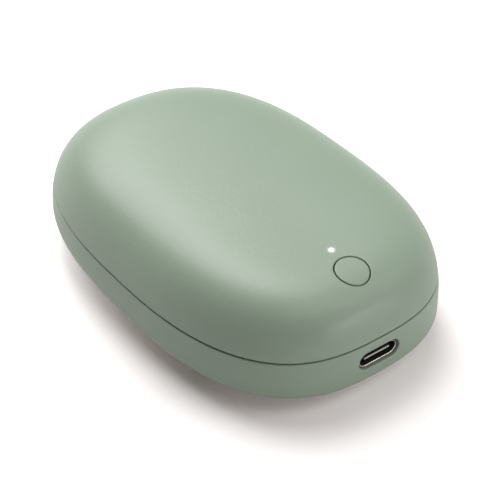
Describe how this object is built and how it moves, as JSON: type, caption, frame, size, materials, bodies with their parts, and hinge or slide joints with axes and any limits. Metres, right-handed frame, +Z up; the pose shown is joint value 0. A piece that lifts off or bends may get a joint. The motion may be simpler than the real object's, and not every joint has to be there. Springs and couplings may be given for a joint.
{
  "type": "rechargeable hand warmer",
  "caption": "Pebble-shaped rechargeable hand warmer: two snap-fitted soft-touch covers, a flush round key with a small lamp beside it, and a charging socket in the end.",
  "frame": {"origin": "middle of the face it rests on, at the bottom centre of its box", "axes": "+X along the long axis toward the charging socket, +Y across, +Z up out of the crown"},
  "size_m": [0.09, 0.0602, 0.0261],
  "materials": {
    "upper_shell": "soft-touch satin, sage green",
    "lower_shell": "soft-touch satin, sage green",
    "key": "soft-touch satin, sage green",
    "clear_rod": "clear moulded plastic, lit white",
    "lamp": "small lamp package",
    "frame": "fine grained dark plastic",
    "screw": "plated steel",
    "circuit_board": "green solder mask",
    "socket_steel": "stamped stainless steel",
    "socket_black": "black insulator",
    "gold": "gold plated",
    "switch_black": "black moulded plastic",
    "switch_steel": "thin steel plate",
    "plunger": "pale moulded plastic",
    "ferrite": "dark ferrite",
    "chip": "black moulded package",
    "capacitor": "tan ceramic with tinned ends",
    "film_socket": "ivory moulded plastic",
    "cell_foil": "embossed laminate foil",
    "guard_board": "green solder mask",
    "lead": "red silicone insulation",
    "heat_plate": "rolled aluminium",
    "heating_film": "amber polyimide",
    "bead": "dark ceramic bead",
    "foam": "fine dark foam"
  },
  "bodies": {
    "housing": {"upper_cover": "upper_shell", "lower_cover": "lower_shell", "light_pipe": "clear_rod", "status_led": "lamp", "mid_frame": "frame", "frame_screws": "screw", "main_board": "circuit_board", "board_screws": "screw", "usb_shell": "socket_steel", "usb_tongue": "socket_black", "usb_contacts": "gold", "switch_body": "switch_black", "switch_cover": "switch_steel", "power_inductor": "ferrite", "charge_chip": "chip", "controller_chip": "chip", "board_capacitors": "capacitor", "film_sockets": "film_socket", "lower_cell": "cell_foil", "upper_cell": "cell_foil", "protection_board": "guard_board", "battery_leads": "lead", "upper_heat_plate": "heat_plate", "lower_heat_plate": "heat_plate", "upper_heating_film": "heating_film", "lower_heating_film": "heating_film", "film_thermistors": "bead", "upper_insulation": "foam", "lower_insulation": "foam"},
    "key": {"power_button": "key"},
    "plunger": {"switch_plunger": "plunger"}
  },
  "joints": [
    {"name": "button_press", "type": "slide", "parent": "housing", "child": "key", "axis": [0, 0, -1], "range_m": [0, 0.0003], "stiffness_N_per_m": 5000, "springref_m": -0.0001},
    {"name": "plunger_press", "type": "slide", "parent": "housing", "child": "plunger", "axis": [0, 0, -1], "range_m": [0, 0.0003]}
  ],
  "couplings": [
    {"joint": "plunger_press", "follows": "button_press", "ratio": 1}
  ]
}
